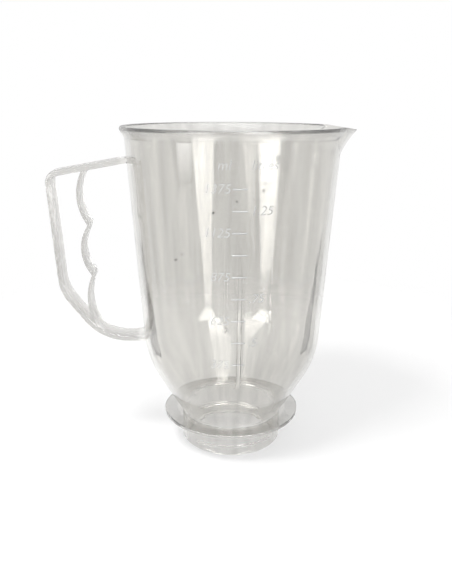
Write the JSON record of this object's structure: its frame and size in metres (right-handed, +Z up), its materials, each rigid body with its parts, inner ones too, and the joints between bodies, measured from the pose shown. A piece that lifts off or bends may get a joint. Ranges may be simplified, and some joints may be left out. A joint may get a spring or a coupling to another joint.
{
  "type": "blender jar",
  "caption": "Clear moulded blender jar, open at both ends, with a flared rim, pointed pour spout, loop handle with a wavy finger bar, inner swirl ribs and a flanged threaded neck.",
  "frame": {"origin": "centre of the neck's lower end, on the jar's axis", "axes": "+Z up the jar's axis towards the rim; +X towards the pour spout, so the handle is on -X; the scale faces -Y"},
  "size_m": [0.1839, 0.1326, 0.2],
  "materials": {
    "clear_plastic": "clear, glossy, faintly smoky moulded styrene plastic"
  },
  "bodies": {
    "root": {"jar": "clear_plastic"}
  },
  "joints": []
}
